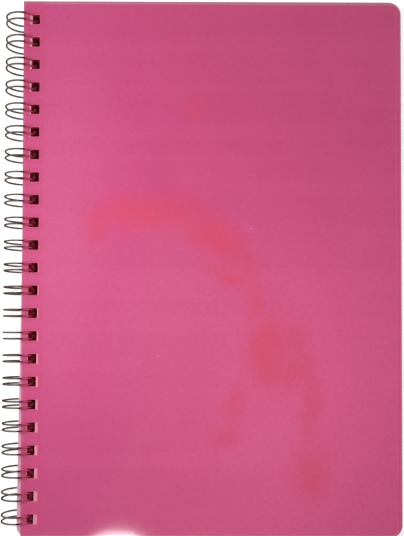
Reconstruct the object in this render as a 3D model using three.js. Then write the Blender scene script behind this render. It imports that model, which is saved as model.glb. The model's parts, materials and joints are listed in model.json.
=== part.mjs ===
// An A4 notebook: two pink plastic covers and eighty sheets of paper, punched with a row
// of square holes down the left side and bound by one twin-loop wire.
// It lies closed on a table. The rings of the wire stand on the table, the back cover
// leans from the rings down to its fore edge, and the paper leans on the back cover.
// Millimetres. X runs from the spine to the fore edge, Y runs up the page and Z is up.
// The origin is on the table, under the middle of the notebook.
import * as THREE from 'three';

// Paper
const paperWidth = 210;
const paperHeight = 297;
const paperCornerRadius = 5;
const sheetThickness = 0.09;
const sheetsInBundle = 10;
const bundleCount = 8;
const airBetweenBundles = 0.05;

// Covers
const coverThickness = 0.6;
const foreEdgeOverhang = 2;
const endOverhang = 1.5;
const coverCornerRadius = 7;
const frontCoverSkew = THREE.MathUtils.degToRad(0.2);
const frontCoverSlack = 0.7;

// Twin-loop wire
const wireDiameter = 1;
const loopPitch = 12.7;
const loopWidth = 3.5;
const rootBendRadius = 1.4;
const wireEndLength = 2;
const seamGap = 0.5;
const ringEase = 5.5;
const stackDrop = 1.1;

// Punched holes
const edgeMargin = 3.5;
const leastEndMargin = 5;

// Clearances
const holeSideClearance = 0.5;
const holeForeClearance = 1;
const wireClearance = 0.35;
const foreEdgeClearance = 0.1;

// Fineness of the round stretches
const cornerSteps = 3;
const legSteps = 15;
const rootBendSteps = 2;
const tipSteps = 4;
const wireSides = 5;
const gapSampleLength = 0.5;

// The paper from top to bottom, as numbers of sheets. The first sheet lies by itself,
// so the first bundle is one sheet short.
const bundles = [1, sheetsInBundle - 1];
while (bundles.length <= bundleCount) {
  bundles.push(sheetsInBundle);
}
const sheetCount = bundles.reduce((sum, sheets) => sum + sheets, 0);
const paperStack = sheetCount * sheetThickness + (bundles.length + 1) * airBetweenBundles;

// The whole stack, with room for the wire's roots over the back cover, and its ring
const rootSpace = wireDiameter + 2 * wireClearance;
const wholeStack = 2 * coverThickness + paperStack + rootSpace;
const ringInnerRadius = (wholeStack + ringEase) / 2;
const ringRadius = ringInnerRadius + wireDiameter / 2;
const ringOuterRadius = ringInnerRadius + wireDiameter;

// Heights above the axis of the rings, before the stack leans
const frontCoverTop = wholeStack / 2 - stackDrop;
const paperTop = frontCoverTop - coverThickness;
const paperBottom = paperTop - paperStack;
const rootHeight = paperBottom - rootSpace / 2;
const backCoverTop = paperBottom - rootSpace;
const backCoverBottom = backCoverTop - coverThickness;

// Places along X, from the axis of the rings. The strip between the holes and the spine
// edge lies inside the rings, and the holes reach past the widest part of the rings.
const chord = (radius, height) => Math.sqrt(radius ** 2 - height ** 2);
const holeStart = chord(ringInnerRadius, backCoverBottom - wireClearance);
const holeEnd = ringOuterRadius + holeForeClearance;
const spineEdge = holeStart - edgeMargin;
const holeHeight = loopWidth + wireDiameter + 2 * holeSideClearance;

// The row of loops
const loopCount = Math.floor((paperHeight - holeHeight - 2 * leastEndMargin) / loopPitch) + 1;
const loopSpan = (loopCount - 1) * loopPitch;
const loopPlace = (k) => loopSpan / 2 - k * loopPitch;

const coverWidth = paperWidth + foreEdgeOverhang;
const coverHeight = paperHeight + 2 * endOverhang;

// The wire unrolled: how far a loop reaches round the ring, and where its legs begin and end
const tipReach = 2 * Math.PI * ringRadius - wireDiameter - seamGap;
const legStart = rootBendRadius;
const legEnd = tipReach - loopWidth / 2;

// A round with flat facets has its corners a little outside the true circle, and its
// facets a little inside it. The same holds for the wire's own section.
const halfStep = (legEnd - legStart) / legSteps / ringRadius / 2;
const ringCornerRadius = (2 * ringRadius) / (1 + Math.cos(halfStep));
const sideAngle = (2 * Math.PI) / wireSides;
const sectionRadius = (wireDiameter / 2) * Math.sqrt(sideAngle / Math.sin(sideAngle));
const wireOutside = ringCornerRadius + sectionRadius;
const wireInside = ringCornerRadius * Math.cos(halfStep) - sectionRadius * Math.cos(sideAngle / 2);

const materials = {
  cover: new THREE.MeshStandardMaterial({ color: 0xcf5287, roughness: 0.35, metalness: 0 }),
  paper: new THREE.MeshStandardMaterial({ color: 0xf3efe9, roughness: 0.9, metalness: 0 }),
  wire: new THREE.MeshStandardMaterial({ color: 0x8d8883, roughness: 0.35, metalness: 1 }),
};

// A leaf lies with its spine edge on the Y axis, and it has one square hole for each loop
// of the wire. A corner radius of 0 leaves the corners at the spine square.
function leafShape(width, height, spineRadius, foreRadius) {
  const top = height / 2;
  const shape = new THREE.Shape();
  shape.moveTo(spineRadius, -top);
  shape.lineTo(width - foreRadius, -top);
  shape.absarc(width - foreRadius, -top + foreRadius, foreRadius, -Math.PI / 2, 0);
  shape.lineTo(width, top - foreRadius);
  shape.absarc(width - foreRadius, top - foreRadius, foreRadius, 0, Math.PI / 2);
  shape.lineTo(spineRadius, top);
  if (spineRadius > 0) {
    shape.absarc(spineRadius, top - spineRadius, spineRadius, Math.PI / 2, Math.PI);
    shape.lineTo(0, -top + spineRadius);
    shape.absarc(spineRadius, -top + spineRadius, spineRadius, Math.PI, 1.5 * Math.PI);
  }
  shape.closePath();
  const near = edgeMargin;
  const far = holeEnd - spineEdge;
  for (let k = 0; k < loopCount; k++) {
    const low = loopPlace(k) - holeHeight / 2;
    const high = loopPlace(k) + holeHeight / 2;
    const hole = new THREE.Path();
    hole.moveTo(near, low);
    hole.lineTo(near, high);
    hole.lineTo(far, high);
    hole.lineTo(far, low);
    hole.closePath();
    shape.holes.push(hole);
  }
  return shape;
}

// A flat leaf with its underside at the height given. It is moved along X and turned
// about the middle of its row of holes, as far as the holes let it move on the wire.
function leaf(name, shape, thickness, underside, material, shift, skew) {
  const geometry = new THREE.ExtrudeGeometry(shape, {
    depth: thickness,
    bevelEnabled: false,
    curveSegments: cornerSteps,
  });
  const mesh = new THREE.Mesh(geometry, material);
  mesh.name = name;
  const holeMiddle = (holeStart + holeEnd) / 2;
  mesh.position.set(spineEdge - holeMiddle, 0, underside);
  const turned = new THREE.Group();
  turned.position.x = holeMiddle + shift;
  turned.rotation.z = skew;
  turned.add(mesh);
  return turned;
}

// The front cover is pulled towards its fore edge, most of all at its lower end
function frontCover() {
  const shape = leafShape(coverWidth, coverHeight, 0, coverCornerRadius);
  const lowerShift = chord(wireInside, frontCoverTop) - frontCoverSlack - holeStart;
  const shift = lowerShift - (Math.sin(frontCoverSkew) * loopSpan) / 2;
  return leaf('front_cover', shape, coverThickness, paperTop, materials.cover, shift, frontCoverSkew);
}

function backCover() {
  const shape = leafShape(coverWidth, coverHeight, 0, coverCornerRadius);
  return leaf('back_cover', shape, coverThickness, backCoverBottom, materials.cover, 0, 0);
}

// The paper. The first sheet lies as far out of square as its holes allow, with a
// clearance to the wire, and the bundles under it lie straighter the deeper they are.
function paper() {
  const shape = leafShape(paperWidth, paperHeight, paperCornerRadius, paperCornerRadius);
  const leastShift = wireOutside + wireClearance - holeEnd;
  const mostShift = chord(wireInside, paperBottom) - wireClearance - holeStart;
  const mostSkew = -Math.asin((mostShift - leastShift) / loopSpan);
  const shift = (leastShift + mostShift) / 2;
  const twoDigits = (number) => String(number).padStart(2, '0');
  let top = paperTop - airBetweenBundles;
  let first = 1;
  return bundles.map((sheets, b) => {
    const last = first + sheets - 1;
    const name = sheets > 1 ? `sheets_${twoDigits(first)}_to_${twoDigits(last)}` : 'sheet_01';
    const thickness = sheets * sheetThickness;
    const skew = mostSkew * (1 - b / bundles.length);
    const piece = leaf(name, shape, thickness, top - thickness, materials.paper, shift, skew);
    top -= thickness + airBetweenBundles;
    first = last + 1;
    return piece;
  });
}

// The centreline of the wire, unrolled flat as [distance round the ring, place along Y].
// Each loop is a finger of two legs joined by a round tip. The legs leave from short
// straight roots, which join each loop to the next, and the tip closes up to the roots.
function wireLine() {
  const halfWidth = loopWidth / 2;
  const line = [];
  const arc = (u, v, radius, from, to, steps) => {
    for (let i = 0; i <= steps; i++) {
      const angle = from + ((to - from) * i) / steps;
      line.push([u + radius * Math.cos(angle), v + radius * Math.sin(angle)]);
    }
  };
  const leg = (from, to, v) => {
    for (let i = 1; i < legSteps; i++) {
      line.push([from + ((to - from) * i) / legSteps, v]);
    }
  };
  const endReach = halfWidth + rootBendRadius + wireEndLength;
  line.push([0, loopPlace(0) + endReach]);
  for (let k = 0; k < loopCount; k++) {
    const y = loopPlace(k);
    const upper = y + halfWidth;
    const lower = y - halfWidth;
    arc(legStart, upper + rootBendRadius, rootBendRadius, Math.PI, 1.5 * Math.PI, rootBendSteps);
    leg(legStart, legEnd, upper);
    arc(legEnd, y, halfWidth, Math.PI / 2, -Math.PI / 2, tipSteps);
    leg(legEnd, legStart, lower);
    arc(legStart, lower - rootBendRadius, rootBendRadius, Math.PI / 2, Math.PI, rootBendSteps);
  }
  line.push([0, loopPlace(loopCount - 1) - endReach]);
  return line;
}

// Rolls the centreline up into rings about the Y axis, and gives the wire's section at
// each point. The roots lie between the last sheet and the back cover, and the legs go
// down and round from there.
function wireSections(line) {
  const rootAngle = Math.asin(rootHeight / ringRadius);
  return line.map(([u, v], i) => {
    const before = line[Math.max(i - 1, 0)];
    const after = line[Math.min(i + 1, line.length - 1)];
    const angle = rootAngle - u / ringRadius;
    const outward = new THREE.Vector3(Math.cos(angle), 0, Math.sin(angle));
    const along = new THREE.Vector3(Math.sin(angle), 0, -Math.cos(angle))
      .multiplyScalar(after[0] - before[0])
      .add(new THREE.Vector3(0, after[1] - before[1], 0))
      .normalize();
    const sideways = new THREE.Vector3().crossVectors(along, outward);
    const centre = outward.clone().multiplyScalar(ringCornerRadius).setY(v);
    const corners = [];
    for (let s = 0; s < wireSides; s++) {
      const corner = centre.clone();
      corner.addScaledVector(outward, sectionRadius * Math.cos(s * sideAngle));
      corner.addScaledVector(sideways, sectionRadius * Math.sin(s * sideAngle));
      corners.push(corner);
    }
    return { centre, corners };
  });
}

// The least gap between stretches of the wire that aren't next to each other along it
function leastWireGap(sections) {
  const points = [];
  for (let i = 1; i < sections.length; i++) {
    const start = sections[i - 1].centre;
    const end = sections[i].centre;
    const parts = Math.ceil(start.distanceTo(end) / gapSampleLength);
    for (let p = 0; p < parts; p++) {
      points.push(start.clone().lerp(end, p / parts));
    }
  }
  const neighbours = Math.ceil((4 * wireDiameter) / gapSampleLength);
  let least = Infinity;
  for (let i = 0; i < points.length; i++) {
    for (let j = i + neighbours; j < points.length; j++) {
      if (Math.abs(points[i].y - points[j].y) < loopPitch) {
        least = Math.min(least, points[i].distanceTo(points[j]));
      }
    }
  }
  return least - wireDiameter;
}

// One unbroken wire, swept along its centreline and closed at both cut ends
function wire() {
  const sections = wireSections(wireLine());
  const positions = sections.flatMap(({ corners }) => corners.flatMap((corner) => corner.toArray()));
  const index = [];
  for (let i = 0; i + 1 < sections.length; i++) {
    for (let s = 0; s < wireSides; s++) {
      const a = i * wireSides + s;
      const b = i * wireSides + ((s + 1) % wireSides);
      index.push(a, b, a + wireSides, b, b + wireSides, a + wireSides);
    }
  }
  const last = (sections.length - 1) * wireSides;
  for (let s = 1; s + 1 < wireSides; s++) {
    index.push(0, s + 1, s);
    index.push(last, last + s, last + s + 1);
  }
  const geometry = new THREE.BufferGeometry();
  geometry.setAttribute('position', new THREE.Float32BufferAttribute(positions, 3));
  geometry.setIndex(index);
  geometry.computeVertexNormals();
  console.log('least gap of the wire to itself, mm:', leastWireGap(sections).toFixed(2));
  const mesh = new THREE.Mesh(geometry, materials.wire);
  mesh.name = 'twin_loop_wire';
  return mesh;
}

// The lean at which the far end of a leaf's underside comes down to a plane. Both the
// underside and the plane are given as depths below the axis of the rings.
function lean(reach, underside, plane) {
  return Math.asin(plane / Math.hypot(reach, underside)) - Math.atan2(underside, reach);
}

const boundWire = wire();
const ringDepth = -new THREE.Box3().setFromObject(boundWire, true).min.z;
const backLean = lean(spineEdge + coverWidth, -backCoverBottom, ringDepth);
const foldDepth = -backCoverTop - foreEdgeClearance;
const paperLean = backLean + lean(spineEdge + paperWidth, -paperBottom, foldDepth);

const backPart = new THREE.Group();
backPart.rotation.y = backLean;
backPart.add(backCover());

const upperPart = new THREE.Group();
upperPart.rotation.y = paperLean;
upperPart.add(boundWire, frontCover(), ...paper());

const ringAxis = new THREE.Group();
ringAxis.add(backPart, upperPart);

const notebook = new THREE.Group();
notebook.add(ringAxis);
notebook.updateMatrixWorld(true);
const box = new THREE.Box3().setFromObject(notebook, true);
const middle = box.getCenter(new THREE.Vector3());
ringAxis.position.set(-middle.x, -middle.y, -box.min.z);

export default notebook;
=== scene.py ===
# %% [markdown]
# A closed A4 notebook, bound by a twin-loop wire
#
# The imported model is the frame: it says where each piece lies, how large it is and how it
# turns. This lesson gives every piece of it a finer mesh and a real finish: a thin,
# slightly see-through pink plastic for the covers, white paper, and dull drawn wire.
# It starts by loading the frame.

# %% Load the frame
import json
import math
import random

import bmesh
import bpy
from mathutils import Matrix, Vector


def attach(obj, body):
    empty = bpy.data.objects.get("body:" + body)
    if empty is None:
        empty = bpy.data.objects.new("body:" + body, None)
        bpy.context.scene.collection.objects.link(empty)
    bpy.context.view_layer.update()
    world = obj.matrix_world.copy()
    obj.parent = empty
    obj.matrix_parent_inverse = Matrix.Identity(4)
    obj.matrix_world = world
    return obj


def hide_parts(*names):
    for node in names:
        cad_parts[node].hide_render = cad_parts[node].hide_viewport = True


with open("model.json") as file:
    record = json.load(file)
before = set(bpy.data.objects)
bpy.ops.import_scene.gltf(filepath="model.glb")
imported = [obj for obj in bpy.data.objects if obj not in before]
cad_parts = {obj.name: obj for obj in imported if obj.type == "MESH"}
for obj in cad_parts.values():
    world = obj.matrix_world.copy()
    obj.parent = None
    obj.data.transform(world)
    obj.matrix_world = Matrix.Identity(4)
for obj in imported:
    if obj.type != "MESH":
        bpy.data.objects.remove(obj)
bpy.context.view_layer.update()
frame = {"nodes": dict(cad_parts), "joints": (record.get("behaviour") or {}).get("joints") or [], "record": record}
MM = 0.001

# %% [markdown]
# The camera
#
# The photograph looks almost straight down at the notebook, with the whole height of the
# cover in the frame. The place, the turn and the focal length below put the corners of the
# cover, the rings and the punched holes where the photograph has them. The middle of the
# photograph isn't where the lens points, because it was cropped, and a small shift of the
# lens says so.

# %% Camera
PHOTO_WIDTH = 404
PHOTO_HEIGHT = 536
FOCAL_PIXELS = 655.9
LENS_CENTRE = (206.4, 321.7)
SENSOR_HEIGHT = 24

camera_data = bpy.data.cameras.new("camera")
camera_data.sensor_fit = "VERTICAL"
camera_data.sensor_height = SENSOR_HEIGHT
camera_data.lens = FOCAL_PIXELS / PHOTO_HEIGHT * SENSOR_HEIGHT
camera_data.shift_x = (PHOTO_WIDTH / 2 - LENS_CENTRE[0]) / PHOTO_HEIGHT
camera_data.shift_y = (LENS_CENTRE[1] - PHOTO_HEIGHT / 2) / PHOTO_HEIGHT
camera_data.clip_start = 0.01
camera = bpy.data.objects.new("camera", camera_data)
camera.location = (0.0083, -0.0366, 0.3768)
camera.rotation_euler = [math.radians(angle) for angle in (1.067, 0.914, 0.296)]
bpy.context.scene.collection.objects.link(camera)
bpy.context.scene.camera = camera
bpy.context.scene.view_settings.view_transform = "Standard"
print("lens:", round(camera_data.lens, 2), "mm")

# %% [markdown]
# Measuring the leaves
#
# Covers and sheets are all the same thing: a thin flat leaf with a row of square holes.
# Each has its own shift and skew in the frame, so the place of each is read from its node:
# the long wall at the spine says which way the leaf faces, and the small walls inside the
# holes say where the holes are. A leaf can then be drawn flat, and laid in its place.


# %% Measure a leaf of the frame
WALL_SLOPE = 0.1
SQUARE_ON = 0.9999
PLACE_DIGITS = 5


class Leaf:
    """A leaf's seat in the frame and its sizes, all read from its node's own faces"""

    def __init__(self, node):
        mesh = frame["nodes"][node].data
        walls = [face for face in mesh.polygons if abs(face.normal.z) < WALL_SLOPE]
        spine_wall = max(walls, key=lambda face: -face.normal.x * face.area)
        top = max(mesh.polygons, key=lambda face: face.normal.z * face.area)
        self.across = -spine_wall.normal.normalized()
        self.up = top.normal.normalized()
        self.along = self.up.cross(self.across).normalized()
        corner = mesh.vertices[spine_wall.vertices[0]].co
        points = [vertex.co - corner for vertex in mesh.vertices]
        heights = [point.dot(self.up) for point in points]
        places = [point.dot(self.along) for point in points]
        self.width = max(point.dot(self.across) for point in points)
        self.height = max(places) - min(places)
        self.thickness = max(heights) - min(heights)
        self.origin = corner + self.up * min(heights) + self.along * (max(places) + min(places)) / 2
        self.columns = self.wall_places(walls, self.across)[1:-1]
        rows = self.wall_places(walls, self.along)[1:-1]
        self.rows = list(zip(rows[::2], rows[1::2]))

    def wall_places(self, walls, direction):
        """The different places along a direction at which walls face that way"""
        facing = [wall for wall in walls if abs(wall.normal.dot(direction)) > SQUARE_ON]
        places = [(wall.center - self.origin).dot(direction) for wall in facing]
        return sorted({round(place, PLACE_DIGITS) for place in places})

    def seat(self, turn=0.0, shift=0.0, lift=0.0):
        """The matrix that lays a flat leaf in place, turned and moved a little if asked"""
        matrix = Matrix((self.across, self.along, self.up)).transposed().to_4x4()
        matrix.translation = self.origin
        return matrix @ Matrix.Translation((shift, 0, lift)) @ Matrix.Rotation(turn, 4, "Z")


front = Leaf("front_cover")
back = Leaf("back_cover")
first_sheet = Leaf("sheet_01")
loop_pitch = (front.rows[-1][0] - front.rows[0][0]) / (len(front.rows) - 1)
print("cover, mm:", [round(size / MM, 2) for size in (front.width, front.height, front.thickness)])
print("paper, mm:", [round(size / MM, 2) for size in (first_sheet.width, first_sheet.height)])
print("holes:", len(front.rows), "at a pitch of", round(loop_pitch / MM, 2), "mm, columns at",
      [round(place / MM, 2) for place in front.columns])

# %% [markdown]
# Hand tools
#
# A few short helpers stand for what the hand does on the screen: take up one object alone,
# pick edges by their place, repeat a shape in a row, and lay a finished piece down in the
# frame.

# %% Helpers for modelling
SAME_PLACE = 0.001 * MM
WELD_REACH = 0.01 * MM


def only(piece):
    """Makes one piece the selected and active object"""
    bpy.ops.object.select_all(action="DESELECT")
    piece.select_set(True)
    bpy.context.view_layer.objects.active = piece


def pick(piece, kind, test):
    """In edit mode, selects the vertices, edges or faces whose place passes the test"""
    bpy.ops.mesh.select_mode(type={"verts": "VERT", "edges": "EDGE", "faces": "FACE"}[kind])
    bpy.ops.mesh.select_all(action="DESELECT")
    shape = bmesh.from_edit_mesh(piece.data)
    for part in getattr(shape, kind):
        points = [part.co] if kind == "verts" else [vertex.co for vertex in part.verts]
        if all(test(point) for point in points):
            part.select_set(True)
    bmesh.update_edit_mesh(piece.data)


def near(value, wanted):
    """True where two lengths are the same"""
    return abs(value - wanted) < SAME_PLACE


def repeat_down(piece, count, step):
    """Repeats a piece along Y and welds the copies together where they meet"""
    only(piece)
    row = piece.modifiers.new("row", "ARRAY")
    row.count = count
    row.use_relative_offset = False
    row.use_constant_offset = True
    row.constant_offset_displace = (0, step, 0)
    row.use_merge_vertices = True
    row.merge_threshold = WELD_REACH
    bpy.ops.object.modifier_apply(modifier=row.name)


def finish_piece(piece, body, slot, *nodes):
    """Lets a piece ride on its body in place of the nodes it stands for"""
    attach(piece, body)
    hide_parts(*nodes)
    triangles = sum(len(face.vertices) - 2 for face in piece.data.polygons)
    print(piece.name, "has", triangles, "triangles")


# %% [markdown]
# A punched leaf
#
# The real leaves are cut to size with round corners and then punched with a comb of square
# pins. Here one tooth of the comb is drawn first: a strip as tall as the pitch, cut along
# the sides of its hole, with the hole taken out and its corners rounded a little. The strip
# is repeated down the spine, and the rest of the leaf is drawn out from its edges. That way
# the row of holes is exact, and there is only one hole to get right. The drawing out leaves
# spare points on the straight edges. They are dissolved before a corner is rounded, because
# the bevel stops at the next point and the corner would come out too small.

# %% One tooth of the comb
HOLE_CORNER = 0.45 * MM
HOLE_CORNER_STEPS = 3
GRIP_MARGIN = 4 * MM


def cut_strip(name, leaf, strip_width):
    """A strip as tall as the pitch, with one square hole in it"""
    near_side, far_side = leaf.columns
    hole_height = leaf.rows[0][1] - leaf.rows[0][0]
    bpy.ops.object.select_all(action="DESELECT")
    bpy.ops.mesh.primitive_plane_add(size=1, location=(0.5, 0, 0))
    piece = bpy.context.object
    piece.name = name
    bpy.ops.object.transform_apply(location=True, rotation=True, scale=True)
    bpy.ops.object.mode_set(mode="EDIT")
    bpy.ops.mesh.select_all(action="SELECT")
    bpy.ops.transform.resize(value=(strip_width, loop_pitch, 1), center_override=(0, 0, 0))
    cuts = [((near_side, 0, 0), (1, 0, 0)), ((far_side, 0, 0), (1, 0, 0))]
    cuts += [((0, side * hole_height / 2, 0), (0, 1, 0)) for side in (-1, 1)]
    for place, facing in cuts:
        bpy.ops.mesh.select_all(action="SELECT")
        bpy.ops.mesh.bisect(plane_co=place, plane_no=facing)

    def in_hole(point):
        across = near_side - SAME_PLACE < point.x < far_side + SAME_PLACE
        return across and abs(point.y) < hole_height / 2 + SAME_PLACE

    pick(piece, "faces", in_hole)
    bpy.ops.mesh.delete(type="FACE")
    pick(piece, "verts", in_hole)
    bpy.ops.mesh.bevel(offset=HOLE_CORNER, affect="VERTICES", segments=HOLE_CORNER_STEPS)
    bpy.ops.object.mode_set(mode="OBJECT")
    return piece


# %% From the comb to a whole leaf
def draw_to_edges(piece, leaf, strip_width, comb_foot):
    """Draws the comb out to the foot, the head and the fore edge of the leaf"""
    comb_ends = (comb_foot, comb_foot + len(leaf.rows) * loop_pitch)
    for end, edge in zip(comb_ends, (-leaf.height / 2, leaf.height / 2)):
        pick(piece, "edges", lambda point: near(point.y, end))
        bpy.ops.mesh.extrude_region_move(TRANSFORM_OT_translate={"value": (0, edge - end, 0)})
    pick(piece, "edges", lambda point: near(point.x, strip_width))
    reach = leaf.width - strip_width
    bpy.ops.mesh.extrude_region_move(TRANSFORM_OT_translate={"value": (reach, 0, 0)})


def round_corners(piece, leaf, side, radius, steps):
    """Clears one side's straight edge of spare points and rounds its two corners"""
    def on_side(point):
        return near(point.x, side)

    def at_corner(point):
        return on_side(point) and near(abs(point.y), leaf.height / 2)

    pick(piece, "verts", lambda point: on_side(point) and not at_corner(point))
    bpy.ops.mesh.dissolve_verts()
    pick(piece, "verts", at_corner)
    bpy.ops.mesh.bevel(offset=radius, affect="VERTICES", segments=steps)


def cut_flat(name, leaf, spine_radius, fore_radius, corner_steps):
    """A flat leaf as a single face-up sheet, with its spine edge on the Y axis"""
    strip_width = leaf.columns[1] + GRIP_MARGIN
    piece = cut_strip(name, leaf, strip_width)
    repeat_down(piece, len(leaf.rows), loop_pitch)
    lowest_hole = (leaf.rows[0][0] + leaf.rows[0][1]) / 2
    piece.data.transform(Matrix.Translation((0, lowest_hole, 0)))
    bpy.ops.object.mode_set(mode="EDIT")
    draw_to_edges(piece, leaf, strip_width, lowest_hole - loop_pitch / 2)
    for side, radius in ((leaf.width, fore_radius), (0, spine_radius)):
        if radius:
            round_corners(piece, leaf, side, radius, corner_steps)
    bpy.ops.mesh.select_all(action="SELECT")
    bpy.ops.mesh.normals_make_consistent(inside=False)
    bpy.ops.object.mode_set(mode="OBJECT")
    if piece.data.polygons[0].normal.z < 0:
        piece.data.flip_normals()
    map_leaf(piece, leaf)
    return piece


# %% The map and the thickness of a leaf
CUT_EDGE_ANGLE = 60
CUT_EDGE_STEPS = 2
SMOOTH_ANGLE = 50


def map_leaf(piece, leaf):
    """Gives a flat leaf a map of itself, so that its marks stay on it when it turns"""
    layer = piece.data.uv_layers[0]
    layer.name = "leaf_map"
    for loop in piece.data.loops:
        place = piece.data.vertices[loop.vertex_index].co
        layer.data[loop.index].uv = (place.x / leaf.height, place.y / leaf.height + 0.5)


def thicken(piece, thickness, soft_edge=0.0):
    """Gives a flat leaf its thickness, upwards, and if asked a soft edge all round"""
    only(piece)
    wall = piece.modifiers.new("thickness", "SOLIDIFY")
    wall.thickness = thickness
    wall.offset = 1
    bpy.ops.object.modifier_apply(modifier=wall.name)
    if soft_edge:
        edge = piece.modifiers.new("soft_edge", "BEVEL")
        edge.width = soft_edge
        edge.segments = CUT_EDGE_STEPS
        edge.limit_method = "ANGLE"
        edge.angle_limit = math.radians(CUT_EDGE_ANGLE)
        bpy.ops.object.modifier_apply(modifier=edge.name)
        bpy.ops.object.shade_smooth_by_angle(angle=math.radians(SMOOTH_ANGLE))
        flat = piece.modifiers.new("flat_faces", "WEIGHTED_NORMAL")
        flat.keep_sharp = True
        bpy.ops.object.modifier_apply(modifier=flat.name)


# %% [markdown]
# Marks that every finish shares
#
# Plastic, paper and steel all have a fine grain and larger, softer changes of tone. The
# grain is one node group with its own scales and share, which gives a height for the bump
# and a tone that lightens or darkens the colour a little. A second group finds how far a
# point lies inside a rectangle, square or with round corners, which serves for the rim of
# the cover, the holes and the dark below them. Both are built once and placed in each
# material with its own values.


# %% Helpers for nodes
class Nodes:
    """Adds nodes to a tree and links them, one short line a node"""

    def __init__(self, tree):
        self.tree = tree

    def add(self, kind, *values, out=0, **settings):
        """Adds a node; each value is a number, a colour, or the output that feeds it"""
        node = self.tree.nodes.new(kind)
        for name, value in settings.items():
            setattr(node, name, value)
        for socket, value in zip(node.inputs, values):
            self.feed(socket, value)
        return node.outputs[out]

    def feed(self, socket, value):
        """Links an output to a socket, or sets the socket to a value"""
        if isinstance(value, bpy.types.NodeSocket):
            self.tree.links.new(value, socket)
        elif value is not None:
            socket.default_value = value

    def math(self, operation, a, b=None, c=None):
        """Calculates with up to three numbers"""
        return self.add("ShaderNodeMath", a, b, c, operation=operation)

    def split(self, vector):
        """The outputs X, Y and Z of a vector"""
        node = self.tree.nodes.new("ShaderNodeSeparateXYZ")
        self.feed(node.inputs[0], vector)
        return node.outputs

    def ramp(self, value, low, high):
        """0 below low, 1 above high and smooth between them"""
        node = self.tree.nodes.new("ShaderNodeMapRange")
        node.interpolation_type = "SMOOTHSTEP"
        self.feed(node.inputs["Value"], value)
        self.feed(node.inputs["From Min"], low)
        self.feed(node.inputs["From Max"], high)
        return node.outputs["Result"]

    def blend(self, share, below, above):
        """Lays one colour over another"""
        node = self.tree.nodes.new("ShaderNodeMix")
        node.data_type = "RGBA"
        colours = [socket for socket in node.inputs if socket.type == "RGBA"]
        self.feed(node.inputs[0], share)
        self.feed(colours[0], below)
        self.feed(colours[1], above)
        return next(socket for socket in node.outputs if socket.type == "RGBA")

    def tint(self, below, above, mask, share=1.0):
        """Lays a tint over a colour, where its mask is and no stronger than its share"""
        return self.blend(self.math("MULTIPLY", mask, share), below, above)

    def noise(self, vector, scale, detail=2.0, roughness=0.5):
        """A smooth random number from 0 to 1 at each place"""
        node = self.tree.nodes.new("ShaderNodeTexNoise")
        self.feed(node.inputs["Vector"], vector)
        self.feed(node.inputs["Scale"], scale)
        self.feed(node.inputs["Detail"], detail)
        self.feed(node.inputs["Roughness"], roughness)
        return node.outputs["Fac"]

    def placed(self, vector, centre, degrees, size):
        """A pattern's own space: the origin at its centre, its axes turned and scaled"""
        node = self.tree.nodes.new("ShaderNodeMapping")
        node.vector_type = "TEXTURE"
        self.feed(node.inputs["Vector"], vector)
        self.feed(node.inputs["Location"], (*centre, 0))
        self.feed(node.inputs["Rotation"], (0, 0, math.radians(degrees)))
        self.feed(node.inputs["Scale"], (*size, 1))
        return node.outputs["Vector"]

    def group(self, group, **values):
        """Places a node group with its own values"""
        node = self.tree.nodes.new("ShaderNodeGroup")
        node.node_tree = group
        for name, value in values.items():
            self.feed(node.inputs[name.replace("_", " ")], value)
        return node.outputs


# %% Grain as a node group
NUMBER = "NodeSocketFloat"
VECTOR = "NodeSocketVector"


def new_group(name, inputs, outputs):
    """An empty node group with the sockets given, and its nodes, inputs and outputs"""
    group = bpy.data.node_groups.new(name, "ShaderNodeTree")
    for socket_name, kind, default in inputs:
        socket = group.interface.new_socket(socket_name, in_out="INPUT", socket_type=kind)
        if default is not None:
            socket.default_value = default
    for socket_name in outputs:
        group.interface.new_socket(socket_name, in_out="OUTPUT", socket_type=NUMBER)
    inner = group.nodes.new("NodeGroupInput")
    outer = group.nodes.new("NodeGroupOutput")
    return group, Nodes(group), inner.outputs, outer.inputs


def make_grain():
    """Grain as a height for a bump, and grain with wider clouds as a tone"""
    group, nodes, inputs, outputs = new_group(
        "surface_grain",
        [("Vector", VECTOR, None), ("Grain Scale", NUMBER, 1500.0),
         ("Cloud Scale", NUMBER, 20.0), ("Grain Share", NUMBER, 0.5)],
        ["Height", "Tone"],
    )
    grain = nodes.noise(inputs["Vector"], inputs["Grain Scale"], detail=2.0, roughness=0.6)
    cloud = nodes.noise(inputs["Vector"], inputs["Cloud Scale"], detail=3.0, roughness=0.55)
    tone = nodes.tree.nodes.new("ShaderNodeMix")
    nodes.feed(tone.inputs[0], inputs["Grain Share"])
    nodes.feed(tone.inputs[2], cloud)
    nodes.feed(tone.inputs[3], grain)
    nodes.feed(outputs["Height"], grain)
    nodes.feed(outputs["Tone"], tone.outputs[0])
    return group


surface_grain = make_grain()
print("group surface_grain has", len(surface_grain.nodes), "nodes")


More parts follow.
